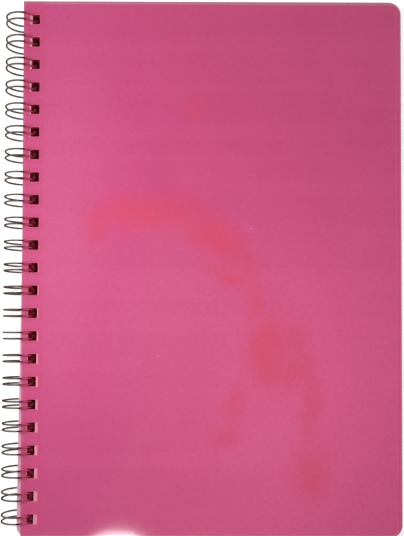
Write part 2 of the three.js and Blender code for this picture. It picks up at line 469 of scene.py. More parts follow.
# %% Depth in a rectangle as a node group
def make_inset():
    """How deep a point lies inside a rectangle with round corners, in metres"""
    group, nodes, inputs, outputs = new_group(
        "depth_in_rectangle",
        [("Vector", VECTOR, None), ("Low X", NUMBER, 0.0), ("High X", NUMBER, 1.0),
         ("Low Y", NUMBER, 0.0), ("High Y", NUMBER, 1.0), ("Corner", NUMBER, 0.0)],
        ["Depth"],
    )
    place = nodes.split(inputs["Vector"])
    depths = []
    squares = []
    for axis in ("X", "Y"):
        from_low = nodes.math("SUBTRACT", place[axis], inputs["Low " + axis])
        from_high = nodes.math("SUBTRACT", inputs["High " + axis], place[axis])
        depth = nodes.math("MINIMUM", from_low, from_high)
        short = nodes.math("MAXIMUM", nodes.math("SUBTRACT", inputs["Corner"], depth), 0.0)
        depths.append(depth)
        squares.append(nodes.math("MULTIPLY", short, short))
    reach = nodes.math("SQRT", nodes.math("ADD", *squares))
    in_corner = nodes.math("SUBTRACT", inputs["Corner"], reach)
    nodes.feed(outputs["Depth"], nodes.math("MINIMUM", nodes.math("MINIMUM", *depths), in_corner))
    return group


depth_in_rectangle = make_inset()
print("group depth_in_rectangle has", len(depth_in_rectangle.nodes), "nodes")


# %% Helpers for materials
def linear(red, green, blue):
    """A colour as a screen shows it, turned into the colour that light works with"""
    def channel(value):
        value /= 255
        return value / 12.92 if value <= 0.04045 else ((value + 0.055) / 1.055) ** 2.4
    return (channel(red), channel(green), channel(blue), 1.0)


def new_material(name):
    """A material with one plastic-like shader, to be set and fed"""
    material = bpy.data.materials.new(name)
    material.use_nodes = True
    tree = material.node_tree
    tree.nodes.clear()
    shader = tree.nodes.new("ShaderNodeBsdfPrincipled")
    output = tree.nodes.new("ShaderNodeOutputMaterial")
    tree.links.new(shader.outputs[0], output.inputs[0])
    return material, Nodes(tree), shader


def roughen(nodes, shader, grain, rough_spread, rough_low, strength, depth):
    """Lets the grain change the roughness of a surface and stand up from it as a bump"""
    roughness = nodes.math("MULTIPLY_ADD", grain["Tone"], rough_spread, rough_low)
    nodes.feed(shader.inputs["Roughness"], roughness)
    bump = nodes.tree.nodes.new("ShaderNodeBump")
    nodes.feed(bump.inputs["Strength"], strength)
    nodes.feed(bump.inputs["Distance"], depth)
    nodes.feed(bump.inputs["Height"], grain["Height"])
    nodes.feed(shader.inputs["Normal"], bump.outputs[0])


def leaf_place(nodes, leaf):
    """A point's place on the flat leaf, in metres, from the leaf's own map"""
    uv = nodes.add("ShaderNodeUVMap", uv_map="leaf_map")
    size = (leaf.height, leaf.height, 1)
    low = (0, -leaf.height / 2, 0)
    return nodes.add("ShaderNodeVectorMath", uv, size, low, operation="MULTIPLY_ADD")


# %% [markdown]
# The finish of the covers
#
# The covers are thin polypropylene, pink all through and slightly see-through, so they show
# what lies under them. Where the sheet clings to the paper, no air lies between them and
# the colour turns a warmer red, in smooth-edged patches. Wide soft clouds of painted light
# make it brighter, and wide painted shade makes it duller, where more or less light would
# fall. Where it was rubbed it is paler, and the widest pale marks are a painted sheen. Past
# the edge of the paper nothing white lies behind it, so a thin mauve rim of painted shade
# lies there and along the spine; past the fore edge of the paper the plastic is a painted
# shade redder, and a painted light line marks the paper's edge. Around each punched hole
# the plastic is a little redder, with a painted highlight on the edge.
#
# One painted picture could hold all this, but it would only be as sharp as it is large.
# Here each mark is a soft ellipse in real sizes with its own share, and a noise frays those
# that are ragged on the real cover. A fine mottle and a thin clear coat lie over them all:
# the coat gives the smooth skin its small bright glints, and the plastic below stays satin.

# %% Colours of the covers
COVER_PINK = linear(225, 85, 140)
COVER_DEEP = linear(180, 50, 102)
MOTTLE_ROSE = linear(186, 34, 94)
BAND_PINK = linear(243, 102, 156)
CLING_RED = linear(234, 71, 95)
# Paler pink of rubbed plastic, and of painted sheen
PALE_PINK = linear(236, 130, 172)
ORCHID_PINK = linear(228, 82, 158)
# Painted light: the colour of the wide bright clouds
PAINTED_LIGHT_PINK = linear(250, 102, 158)
# Painted shade at the rim and the spine edge, where no white paper lies behind the cover
RIM_MAUVE = linear(202, 148, 166)
SPINE_MAUVE = linear(186, 130, 156)
REDDER_PINK = linear(222, 77, 126)
# A painted highlight at the hole edges, and a painted light line at the paper's edge
PAINTED_EDGE_LIGHT = linear(246, 132, 164)
DUST = linear(140, 36, 62)
# Painted glints of light
PAINTED_GLINT = linear(250, 190, 214)
COVER_CORNER = 7 * MM

# %% [markdown]
# Where the marks lie
#
# Each mark is one row: its centre from the middle of the cover, its turn in degrees, its two
# half lengths in mm, and its share. A fleck has its place, its radius in mm and its colour.
# The front cover's follow the photograph. The back cover isn't seen in it, so its marks are
# of the same kinds and made up.

# %% Marks of the front cover
FRONT_MARKS = {
    "patches": [
        ((-63, 26), 74, (14, 9), 1.0),
        ((-35, 31.5), 0, (36, 12), 1.15),
        ((1, 18), -34, (27, 13), 1.15),
        ((20, 3), -62, (16, 6), 0.7),
        ((11, -5), -18, (20, 6), 1.05),
        ((24, -20), 88, (16, 7), 1.0),
        ((32, -46), 84, (25, 15), 1.3),
        ((47, -58), 40, (15, 11), 0.95),
        ((45, -42), 80, (16, 10), 0.85),
        ((55, -77), 87, (28, 7), 0.75),
        ((13, -77), 72, (17, 7), 0.85),
        ((9, -94), 0, (12, 8), 0.75),
        ((55, -115), 84, (19, 12), 1.0),
        ((-10, 91), 60, (9, 6), 0.6),
        ((-20, 122), 80, (15, 8), 0.25),
    ],
    # Narrow marks are rubbed, paler plastic; the two wide ones at the end are a painted sheen
    "scuffs_and_sheen": [
        ((-30, -76), 64, (62, 9), 0.12),
        ((-70, -21), 8, (16, 9), 0.12),
        ((24, -100), 50, (34, 16), 0.14),
        ((-62, -52), 80, (40, 8), 0.06),
        ((-92, 22), 87, (115, 38), 0.3),
        ((-10, -32), 0, (76, 66), 0.17),
    ],
    # Clouds are painted pools of light
    "clouds": [
        ((58, -92), 62, (140, 92), 0.85),
    ],
    # Shades are painted shade, darker where less light would fall
    "shades": [
        ((-84, -124), -14, (66, 58), 0.13),
        ((24, 112), 10, (100, 66), 0.14),
        ((-44, 34), 0, (62, 42), 0.09),
        ((-8, -66), 84, (44, 13), 0.10),
        ((-2, -124), 20, (40, 18), 0.08),
        ((44, 62), -72, (70, 24), 0.06),
    ],
    # Flecks of dust, and painted glints of light
    "flecks": [
        ((-11.5, 143.6), 0.6, DUST),
        ((26.7, 105.3), 0.7, DUST),
        ((84.0, -132.8), 0.7, DUST),
        ((-30.0, -49.1), 0.6, PAINTED_GLINT),
        ((21.6, 22.0), 0.5, PAINTED_GLINT),
    ],
}
print("front cover:", {kind: len(places) for kind, places in FRONT_MARKS.items()})

# %% Marks of the back cover
BACK_MARKS = {
    "patches": [
        ((30, 62), 24, (32, 11), 0.8),
        ((2, 40), -50, (20, 9), 0.6),
        ((-38, -58), 74, (26, 10), 0.8),
        ((-30, -88), 12, (16, 8), 0.5),
    ],
    # Rubbed, paler plastic and painted sheen
    "scuffs_and_sheen": [
        ((20, -40), -50, (55, 10), 0.12),
        ((-60, 90), 20, (20, 10), 0.1),
    ],
    # Clouds are painted pools of light
    "clouds": [
        ((-40, 60), 50, (110, 70), 0.4),
    ],
    # Shades are painted shade, darker where less light would fall
    "shades": [
        ((50, -110), 30, (80, 50), 0.2),
    ],
    "flecks": [
        ((-20.0, 30.0), 0.6, DUST),
        ((60.0, -44.0), 0.5, PAINTED_GLINT),
    ],
}
print("back cover:", {kind: len(places) for kind, places in BACK_MARKS.items()})


# %% Helpers for marks
def patch_mask(nodes, place, leaf, patches, ramp):
    """Soft ellipses, each with its own share, that fade out as the ramp says"""
    mask = 0.0
    for (x, y), degrees, (half_length, half_width), share in patches:
        centre = (leaf.width / 2 + x * MM, y * MM)
        own = nodes.placed(place, centre, degrees, (half_length * MM, half_width * MM))
        reach = nodes.add("ShaderNodeVectorMath", own, operation="LENGTH", out="Value")
        inside = nodes.math("MULTIPLY", nodes.ramp(reach, *ramp), share)
        mask = nodes.math("MAXIMUM", mask, inside)
    return mask


def depth_in_hole(nodes, place, leaf):
    """How deep a point lies inside the nearest of a leaf's holes, below 0 outside it"""
    near_side, far_side = leaf.columns
    low, high = leaf.rows[0]
    split = nodes.split(place)
    from_row = nodes.math("SUBTRACT", split["Y"], (low + high) / 2)
    from_hole = nodes.math("WRAP", from_row, loop_pitch / 2, -loop_pitch / 2)
    in_row = nodes.add("ShaderNodeCombineXYZ", split["X"], from_hole)
    group = nodes.group(depth_in_rectangle, Vector=in_row, Low_X=near_side, High_X=far_side,
                        Low_Y=(low - high) / 2, High_Y=(high - low) / 2)
    return group["Depth"]


# %% [markdown]
# The layers of the plastic
#
# These marks lie over one another, and the material lays them on in this order: first the
# plain pink with its soft bands, then the clouds of painted light, the painted shade, the
# scuffs with their painted sheen and the clinging patches, then the painted rim and the
# holes with their painted highlight, and last the dust and the painted glints. Each layer
# is a short helper that takes the colour below it and gives back its own.
# A pair of numbers says where a mark begins to show, and where it has its full strength.

# %% Plain pink
TONE_SHARE = 0.36
BAND_SIZE = (600 * MM, 16 * MM)
BAND_RAMP = (0.35, 0.7)
BAND_SHARE = 0.18
ORCHID_WIDTHS = (0.5, 0.05)
ORCHID_SHARE = 0.26


def plain_pink(nodes, leaf, place, tone, band_start):
    """The pink of the sheet, with bands across it and a bluer half at the spine"""
    colour = nodes.tint(COVER_PINK, COVER_DEEP, tone, TONE_SHARE)
    banded = nodes.placed(place, (0, band_start), 0, BAND_SIZE)
    bands = nodes.ramp(nodes.noise(banded, 1.0, roughness=0.6), *BAND_RAMP)
    colour = nodes.tint(colour, BAND_PINK, bands, BAND_SHARE)
    orchid_ramp = [share * leaf.width for share in ORCHID_WIDTHS]
    at_spine = nodes.ramp(nodes.split(place)["X"], *orchid_ramp)
    return nodes.tint(colour, ORCHID_PINK, at_spine, ORCHID_SHARE)


# %% Clouds of painted light, painted shade, scuffs with painted sheen and clinging patches
FRAY_SCALE = 110.0
FRAY_DETAIL = 5.0
FRAY_WIDTH = 12 * MM
SOFT_RAMP = (1.3, 0.0)
SCUFF_AND_SHEEN_RAMP = (1.5, 0.0)
CLING_RAMP = (1.35, 0.2)
CLING_SCALE = 60.0
CLING_LOW = 0.2
CLING_SPREAD = 0.5


def frayed_place(nodes, place):
    """The same place, shaken a little by a noise, which frays whatever is drawn on it"""
    noise = nodes.add("ShaderNodeTexNoise", place, None, FRAY_SCALE, FRAY_DETAIL, out="Color")
    centred = nodes.add("ShaderNodeVectorMath", noise, (0.5, 0.5, 0.5), operation="SUBTRACT")
    width = (FRAY_WIDTH, FRAY_WIDTH, 0)
    return nodes.add("ShaderNodeVectorMath", centred, width, place, operation="MULTIPLY_ADD")


def marked(nodes, leaf, place, colour, marks):
    """Lays painted light, painted shade, the scuffs with their painted sheen and, last, the clinging patches over
    a colour
    """
    frayed = frayed_place(nodes, place)
    clouds = patch_mask(nodes, place, leaf, marks["clouds"], SOFT_RAMP)
    shades = patch_mask(nodes, place, leaf, marks["shades"], SOFT_RAMP)
    scuffs_and_sheen = patch_mask(nodes, frayed, leaf, marks["scuffs_and_sheen"], SCUFF_AND_SHEEN_RAMP)
    cling = patch_mask(nodes, frayed, leaf, marks["patches"], CLING_RAMP)
    cling_noise = nodes.noise(place, CLING_SCALE, detail=3.0)
    uneven = nodes.math("MULTIPLY_ADD", cling_noise, CLING_SPREAD, CLING_LOW)
    # The clouds are painted light
    colour = nodes.blend(clouds, colour, PAINTED_LIGHT_PINK)
    # The shades are painted shade
    colour = nodes.blend(shades, colour, COVER_DEEP)
    # Paler where rubbed, and in the wide marks a painted sheen
    colour = nodes.blend(scuffs_and_sheen, colour, PALE_PINK)
    return nodes.tint(colour, CLING_RED, cling, uneven)


# %% Painted rims and edge light, the holes, dust and painted glints
# The rim's rectangle reaches past the spine, because the rim isn't seen there
PAST_SPINE = 9 * MM
PAST_FORE_EDGE = 1 * MM
RIM_RAMP = (2.1 * MM, 1.2 * MM)
RIM_SHARE = 0.8
SPINE_EDGE_RAMP = (2.0 * MM, 0.4 * MM)
SPINE_EDGE_SHARE = 0.55
PAPER_EDGE_DEPTH = 2.7 * MM
PAST_PAPER_RAMP = (0.0, 0.6 * MM)
PAPER_LINE_RAMP = (0.5 * MM, 0.1 * MM)
PAPER_EDGE_SHARE = 0.2
NEAR_HOLE_RAMP = (-4.5 * MM, 0.0)
NEAR_HOLE_SHARE = 0.55
HIGHLIGHT_RAMP = (-0.55 * MM, -0.1 * MM)
HIGHLIGHT_SHARE = 0.5
MOTTLE_SCALE = 420.0
MOTTLE_SHARE = 0.4
FLECK_RAMP = (1.0, 0.3)
FLECK_SHARE = 0.5


def rimmed(nodes, leaf, place, colour):
    """Lays painted shade on the rim past the paper, along the spine and past the paper's fore edge, and a painted
    light line at the paper's own edge
    """
    across = nodes.split(place)["X"]
    rectangle = nodes.group(depth_in_rectangle, Vector=place, Low_X=-PAST_SPINE,
                            High_X=leaf.width + PAST_FORE_EDGE, Low_Y=-leaf.height / 2,
                            High_Y=leaf.height / 2, Corner=COVER_CORNER)
    # Painted shade: the rim past the paper
    rim = nodes.ramp(rectangle["Depth"], *RIM_RAMP)
    colour = nodes.tint(colour, RIM_MAUVE, rim, RIM_SHARE)
    # Painted shade along the spine edge
    spine_edge = nodes.ramp(across, *SPINE_EDGE_RAMP)
    colour = nodes.tint(colour, SPINE_MAUVE, spine_edge, SPINE_EDGE_SHARE)
    # Past the paper's fore edge a painted shade redder, and a painted light line at its edge
    from_paper = nodes.math("SUBTRACT", across, leaf.width - PAPER_EDGE_DEPTH)
    past_paper = nodes.ramp(from_paper, *PAST_PAPER_RAMP)
    colour = nodes.tint(colour, REDDER_PINK, past_paper, PAPER_EDGE_SHARE)
    line = nodes.ramp(nodes.math("ABSOLUTE", from_paper), *PAPER_LINE_RAMP)
    return nodes.tint(colour, PAINTED_EDGE_LIGHT, line, PAPER_EDGE_SHARE)


def redder_round_holes(nodes, leaf, place, colour):
    """Lays the redder plastic around the holes, and a painted highlight along their edges"""
    hole_depth = depth_in_hole(nodes, place, leaf)
    near_hole = nodes.ramp(hole_depth, *NEAR_HOLE_RAMP)
    colour = nodes.tint(colour, REDDER_PINK, near_hole, NEAR_HOLE_SHARE)
    # Painted highlight along each hole's edge
    return nodes.tint(colour, PAINTED_EDGE_LIGHT, nodes.ramp(hole_depth, *HIGHLIGHT_RAMP), HIGHLIGHT_SHARE)


def dusted(nodes, leaf, place, colour, flecks):
    """Lays a fine mottle over a colour, and then the flecks of dust and the painted glints"""
    mottle = nodes.noise(place, MOTTLE_SCALE, detail=3.0, roughness=0.7)
    colour = nodes.tint(colour, MOTTLE_ROSE, mottle, MOTTLE_SHARE)
    # The dust is real; the glints are painted highlights
    for (x, y), radius, shade in flecks:
        centre = (leaf.width / 2 + x * MM, y * MM)
        own = nodes.placed(place, centre, 0, (radius * MM, radius * MM))
        reach = nodes.add("ShaderNodeVectorMath", own, operation="LENGTH", out="Value")
        colour = nodes.tint(colour, shade, nodes.ramp(reach, *FLECK_RAMP), FLECK_SHARE)
    return colour


# %% Plastic of both covers
COVER_GRAIN = {"Grain_Scale": 1600.0, "Cloud_Scale": 30.0, "Grain_Share": 0.2}
COVER_SKIN = {"rough_spread": 0.14, "rough_low": 0.48, "strength": 0.25, "depth": 0.05 * MM}
COVER_SHINE = {
    "IOR": 1.49,
    "Specular IOR Level": 0.3,
    "Coat Weight": 0.4,
    "Coat Roughness": 0.08,
}


def cover_material(name, leaf, marks, band_start):
    """All the layers of a cover, under a thin clear coat"""
    material, nodes, shader = new_material(name)
    place = leaf_place(nodes, leaf)
    grain = nodes.group(surface_grain, Vector=place, **COVER_GRAIN)
    colour = plain_pink(nodes, leaf, place, grain["Tone"], band_start)
    colour = marked(nodes, leaf, place, colour, marks)
    colour = rimmed(nodes, leaf, place, colour)
    colour = redder_round_holes(nodes, leaf, place, colour)
    colour = dusted(nodes, leaf, place, colour, marks["flecks"])
    nodes.feed(shader.inputs["Base Color"], colour)
    roughen(nodes, shader, grain, **COVER_SKIN)
    for setting, value in COVER_SHINE.items():
        shader.inputs[setting].default_value = value
    print(name, "has", len(material.node_tree.nodes), "nodes")
    return material


front_plastic = cover_material("front_cover_plastic", front, FRONT_MARKS, 0.0)
back_plastic = cover_material("back_cover_plastic", back, BACK_MARKS, 0.4)

# %% [markdown]
# The covers
#
# A cover is die-cut from the sheet, with square corners at the spine and round ones at the
# fore edge. The flat leaf gets its thickness and a very small soft edge, so that the light
# catches its rim and the rims of the holes, as on cut plastic. The edge is shaded smooth.
# That alone would tilt the light on the whole flat face and bend each reflection in it, so
# the face gets its own normals back, weighted by its area.

# %% Front and back cover
COVER_SOFT_EDGE = 0.12 * MM
COVER_CORNER_STEPS = 10


def make_cover(name, node, leaf, body, material):
    """A cover with square corners at the spine and round ones at the fore edge"""
    cover = cut_flat(name, leaf, 0, COVER_CORNER, COVER_CORNER_STEPS)
    thicken(cover, leaf.thickness, COVER_SOFT_EDGE)
    cover.data.transform(leaf.seat())
    cover.data.materials.append(material)
    finish_piece(cover, body, "cover", node)


make_cover("front_cover_sheet", "front_cover", front, "front_cover", front_plastic)
make_cover("back_cover_sheet", "back_cover", back, "back_cover", back_plastic)

# %% [markdown]
# The finish of the paper
#
# Uncoated white paper is never quite even: its fibres give it a faint cloudy tone and a
# rough surface with no shine. Pink light from the cover is painted onto the top of the first
# sheet, on a narrow margin at the spine and around the holes. All other faces have only a
# trace of this painted light, so the opened notebook is white. The hole walls are painted in
# dark red shade, because each hole is a deep shaft through eighty sheets that don't line up,
# and little light but red comes down it. A thin rim of painted red shade around each hole
# does the same for the bit of a sheet that shows past the one above it. One recipe makes the
# paper, and the faces and hole walls add their own painted light and shade to it.

# %% Paper of one colour
PAPER_WHITE = linear(244, 240, 236)
PAPER_FIBRE = linear(206, 198, 190)
# Painted pink light from the cover, at the spine and around the holes
SPINE_PINK_LIGHT = linear(250, 186, 204)
HOLE_PINK_LIGHT = linear(255, 170, 192)
# Painted red shade at the rim of each hole
HOLE_RIM_SHADE = linear(240, 62, 96)
HOLE_SHADE = linear(164, 34, 62)
HOLE_DEEP = linear(60, 6, 20)
PAPER_GRAIN = {"Grain_Scale": 2600.0, "Cloud_Scale": 300.0, "Grain_Share": 0.4}
PAPER_SKIN = {"rough_spread": 0.1, "rough_low": 0.82, "strength": 0.3, "depth": 0.02 * MM}
FIBRE_SHARE = 0.16


def paper_base(name, shade, deep_shade, shine=0.2):
    """Paper of one colour with its fibres, and the tree to add to"""
    material, nodes, shader = new_material(name)
    place = leaf_place(nodes, first_sheet)
    grain = nodes.group(surface_grain, Vector=place, **PAPER_GRAIN)
    colour = nodes.tint(shade, deep_shade, grain["Tone"], FIBRE_SHARE)
    nodes.feed(shader.inputs["Base Color"], colour)
    roughen(nodes, shader, grain, **PAPER_SKIN)
    shader.inputs["Specular IOR Level"].default_value = shine
    return material, nodes, shader, place, colour


# %% Faces and hole walls of the sheets
FADE = 0.6


def face_paper(name, spine_reach, hole_reach, rim=0.0):
    """White paper, with painted pink light from the cover at the spine and close to the holes, and if asked a rim
    of painted red shade at the holes
    """
    material, nodes, shader, place, colour = paper_base(name, PAPER_WHITE, PAPER_FIBRE)
    across = nodes.split(place)["X"]
    near_side, far_side = first_sheet.columns
    at_spine = nodes.ramp(across, spine_reach, FADE * spine_reach)
    hole_depth = depth_in_hole(nodes, place, first_sheet)
    at_hole = nodes.ramp(hole_depth, -hole_reach, -FADE * hole_reach)
    past_hole = nodes.ramp(across, near_side, far_side - 1 * MM)
    # Painted pink light from the cover
    pink_light = nodes.blend(past_hole, SPINE_PINK_LIGHT, HOLE_PINK_LIGHT)
    with_pink_light = nodes.blend(nodes.math("MAXIMUM", at_spine, at_hole), colour, pink_light)
    # A rim of painted red shade at the holes
    if rim:
        with_pink_light = nodes.blend(nodes.ramp(hole_depth, -rim, -FADE * rim), with_pink_light, HOLE_RIM_SHADE)
    nodes.feed(shader.inputs["Base Color"], with_pink_light)
    return material


white_paper = paper_base("white_paper", PAPER_WHITE, PAPER_FIBRE)[0]
first_face = face_paper("first_paper_face", 5 * MM, 3.5 * MM)
inner_face = face_paper("inner_paper_face", 0.5 * MM, 0.9 * MM, 0.25 * MM)
shaded_edge = paper_base("shaded_hole_edge", HOLE_SHADE, HOLE_DEEP, 0.0)[0]
print("papers:", [paper.name for paper in (white_paper, first_face, inner_face, shaded_edge)])

# %% [markdown]
# The sheets
#
# The frame has the paper as bundles of sheets, each bundle a little straighter than the one
# above it. One sheet is drawn, and copies of it fill the bundles: real sheets of their own
# thickness, with a hair of air between them, none of them exactly on top of the next. The
# skew runs evenly from one bundle to the next, so that the edge of the block has no steps.

# %% Stacks of sheets
SHEET_CORNER = 5 * MM
SHEET_CORNER_STEPS = 6
SHEET_PITCH = first_sheet.thickness
SHEET_THICKNESS = 0.9 * SHEET_PITCH
LOOSE_SHIFT = 0.06 * MM
LOOSE_TURN = math.radians(0.01)
LOOSE_SEED = 80
SHEET_FINISHES = (white_paper, shaded_edge, inner_face, first_face)
EDGE_SLOT, HOLE_SLOT, FACE_SLOT, FIRST_SLOT = range(4)
BESIDE_HOLES = 1 * MM

bundle_nodes = sorted(node for node in frame["nodes"] if node.startswith("sheets_"))
bodies = frame["record"]["behaviour"]["bodies"]
body_of_node = {node: body for body, nodes in bodies.items() for node in nodes}
loose = random.Random(LOOSE_SEED)

sheet_pattern = cut_flat("sheet_pattern", first_sheet, SHEET_CORNER, SHEET_CORNER,
                         SHEET_CORNER_STEPS)
thicken(sheet_pattern, SHEET_THICKNESS)
for finish in SHEET_FINISHES[:FIRST_SLOT]:
    sheet_pattern.data.materials.append(finish)
for face in sheet_pattern.data.polygons:
    beside_hole = BESIDE_HOLES < face.center.x < first_sheet.columns[1] + BESIDE_HOLES
    inside_ends = abs(face.center.y) < first_sheet.rows[-1][1] + BESIDE_HOLES
    if abs(face.normal.z) > 0.5:
        face.material_index = FACE_SLOT
    elif beside_hole and inside_ends:
        face.material_index = HOLE_SLOT
    else:
        face.material_index = EDGE_SLOT
print("one sheet has", len(sheet_pattern.data.polygons), "faces")


# %% Fill the bundles
def skew(leaf):
    """How far a leaf is turned on its wire, seen along the rings' own lean"""
    return math.atan2(leaf.along.x, leaf.along.y)


def stack(name, node, next_leaf):
    """Fills a bundle of the frame with single sheets, and joins them to one piece"""
    leaf = Leaf(node)
    count = round(leaf.thickness / SHEET_PITCH)
    to_next = skew(leaf) - skew(next_leaf)
    sheets = []
    for number in range(count):
        sheet = sheet_pattern.copy()
        sheet.data = sheet_pattern.data.copy()
        bpy.context.scene.collection.objects.link(sheet)
        share = (number + 0.5) / count - 0.5
        turn = -to_next * share + loose.uniform(-LOOSE_TURN, LOOSE_TURN)
        shift = loose.uniform(-LOOSE_SHIFT, LOOSE_SHIFT)
        sheet.data.transform(leaf.seat(turn, shift, number * SHEET_PITCH))
        sheets.append(sheet)
    only(sheets[0])
    for sheet in sheets:
        sheet.select_set(True)
    if len(sheets) > 1:
        bpy.ops.object.join()
    piece = sheets[0]
    piece.name = name
    finish_piece(piece, body_of_node[node], "paper", node)
    return piece


bundle_leaves = [Leaf(node) for node in bundle_nodes]
top_sheet = stack("first_sheet_of_paper", "sheet_01", first_sheet)
top_sheet.data.materials.append(SHEET_FINISHES[FIRST_SLOT])
for face in top_sheet.data.polygons:
    if face.normal.z > 0.5:
        face.material_index = FIRST_SLOT
for place_in_row, node in enumerate(bundle_nodes):
    following = bundle_leaves[min(place_in_row + 1, len(bundle_nodes) - 1)]
    stack(node.replace("sheets", "paper"), node, following)
bpy.data.objects.remove(sheet_pattern)

# %% [markdown]
# The twin-loop wire
#
# The binding is one steel wire. A machine first bends it flat into a comb of narrow
# fingers, and then rolls the comb shut, so that the round tip of each finger meets the root
# it came from. One loop of it is drawn the way the wire runs: a small circle is drawn out
# along the root, spun through the first bend, round the ring, about the tip, back round the
# ring and out through the second bend. The finished loop is repeated down the spine, and
# the copies are welded end to end into one unbroken wire. The spin operator turns the
# other way from the right-hand rule, so its angles have the opposite sign.

# %% Sizes of the wire
hinge = next(joint for joint in frame["joints"] if joint["name"] == "front_cover_turn")
ring_axis = Vector(hinge["pos_m"])
WIRE_DIAMETER = 1.0 * MM
WIRE_CLEARANCE = 0.35 * MM
LOOP_WIDTH = 3.5 * MM
ROOT_BEND = 1.4 * MM
ROOT_END = 2.0 * MM
SEAM_GAP = 0.5 * MM
WIRE_SIDES = 14
WIRE_SMOOTH_ANGLE = 40
END_INSET = 0.15 * MM
END_BULGE = 0.12 * MM
BEND_STEPS = 5
RING_STEPS = 52
TIP_STEPS = 12
ring_radius = ring_axis.z - WIRE_DIAMETER / 2
last_leaf = bundle_leaves[-1]
paper_underside = (last_leaf.origin - ring_axis).dot(last_leaf.up)
root_height = paper_underside - WIRE_CLEARANCE - WIRE_DIAMETER / 2
root_angle = math.asin(root_height / ring_radius)
leg_start = root_angle - ROOT_BEND / ring_radius
reach_round = 2 * math.pi - (WIRE_DIAMETER + SEAM_GAP + LOOP_WIDTH / 2 + ROOT_BEND) / ring_radius
ring_lean = math.atan2(front.up.x, front.up.z)
print("ring radius", round(ring_radius / MM, 2), "mm, lean", round(math.degrees(ring_lean), 3))


# %% One loop
def on_ring(angle):
    """The point of the ring at an angle, which is 0 toward the fore edge"""
    return Vector((ring_radius * math.cos(angle), 0, ring_radius * math.sin(angle)))


def draw_out(length):
    """Draws the open end of the wire straight down the spine"""
    bpy.ops.mesh.extrude_region_move(TRANSFORM_OT_translate={"value": (0, -length, 0)})


def spin(steps, angle, centre, axis):
    """Draws the open end of the wire round an arc"""
    bpy.ops.mesh.spin(steps=steps, angle=-angle, center=centre, axis=axis)


def make_loop():
    """One loop of the wire, from the middle of one root to the middle of the next"""
    half_width = LOOP_WIDTH / 2
    bar = loop_pitch / 2 - half_width - ROOT_BEND
    quarter = math.radians(90)
    start = on_ring(leg_start)
    outward = start.normalized()
    forward = Vector((math.sin(leg_start), 0, -math.cos(leg_start)))
    tip_outward = on_ring(leg_start - reach_round).normalized()
    root = start - forward * ROOT_BEND
    bpy.ops.object.select_all(action="DESELECT")
    bpy.ops.mesh.primitive_circle_add(
        vertices=WIRE_SIDES, radius=WIRE_DIAMETER / 2, fill_type="NOTHING",
        location=(root.x, loop_pitch / 2, root.z), rotation=(quarter, 0, 0))
    loop = bpy.context.object
    loop.name = "twin_loop"
    bpy.ops.object.transform_apply(location=True, rotation=True, scale=True)
    bpy.ops.object.mode_set(mode="EDIT")
    bpy.ops.mesh.select_all(action="SELECT")
    draw_out(bar)
    bend_centre = start + Vector((0, half_width + ROOT_BEND, 0))
    spin(BEND_STEPS, quarter, bend_centre, outward)
    spin(RING_STEPS, reach_round, (0, 0, 0), (0, 1, 0))
    spin(TIP_STEPS, 2 * quarter, on_ring(leg_start - reach_round), -tip_outward)
    spin(RING_STEPS, -reach_round, (0, 0, 0), (0, 1, 0))
    bend_centre = start - Vector((0, half_width + ROOT_BEND, 0))
    spin(BEND_STEPS, quarter, bend_centre, outward)
    draw_out(bar)
    bpy.ops.object.mode_set(mode="OBJECT")
    return loop


wire = make_loop()
loop_size = [round(size / MM, 2) for size in wire.dimensions]
print("one loop, mm:", loop_size, "with", len(wire.data.polygons), "faces")


# %% The row of loops
def close_ends(wire, span):
    """Cuts both ends back to their real length and closes them with a soft edge"""
    spare = loop_pitch / 2 - LOOP_WIDTH / 2 - ROOT_BEND - ROOT_END
    bpy.ops.object.mode_set(mode="EDIT")
    for side in (-1, 1):
        pick(wire, "verts", lambda point: near(point.y, side * span / 2))
        bpy.ops.transform.translate(value=(0, -side * spare, 0))
        bpy.ops.mesh.select_mode(type="EDGE")
        bpy.ops.mesh.edge_face_add()
        bpy.ops.mesh.select_mode(type="FACE")
        bpy.ops.mesh.inset(thickness=END_INSET)
        bpy.ops.transform.translate(value=(0, side * END_BULGE, 0))
    bpy.ops.mesh.select_all(action="SELECT")
    bpy.ops.mesh.normals_make_consistent(inside=False)
    bpy.ops.object.mode_set(mode="OBJECT")


loop_count = len(front.rows)
repeat_down(wire, loop_count, -loop_pitch)
wire.data.transform(Matrix.Translation((0, (loop_count - 1) / 2 * loop_pitch, 0)))
close_ends(wire, loop_count * loop_pitch)
bpy.ops.object.shade_smooth_by_angle(angle=math.radians(WIRE_SMOOTH_ANGLE))
wire.name = "bound_wire"
wire.data.transform(Matrix.Translation(ring_axis) @ Matrix.Rotation(ring_lean, 4, "Y"))

# %% [markdown]
# The finish of the wire
#
# The wire is drawn steel with a dull dark coat. It is a metal all over, with faint streaks
# along its length and small changes in its polish. Its dark lines against the white table
# come from its low colour, and the lighter lines from the soft light above it. Over the
# cover, the rings mirror the plastic close below them: its shaded edge makes them a very
# dark red, and toward the holes its lit face makes them a lighter one. Deep in the holes
# they mirror only the dark walls. The roots below the paper are plain steel again.

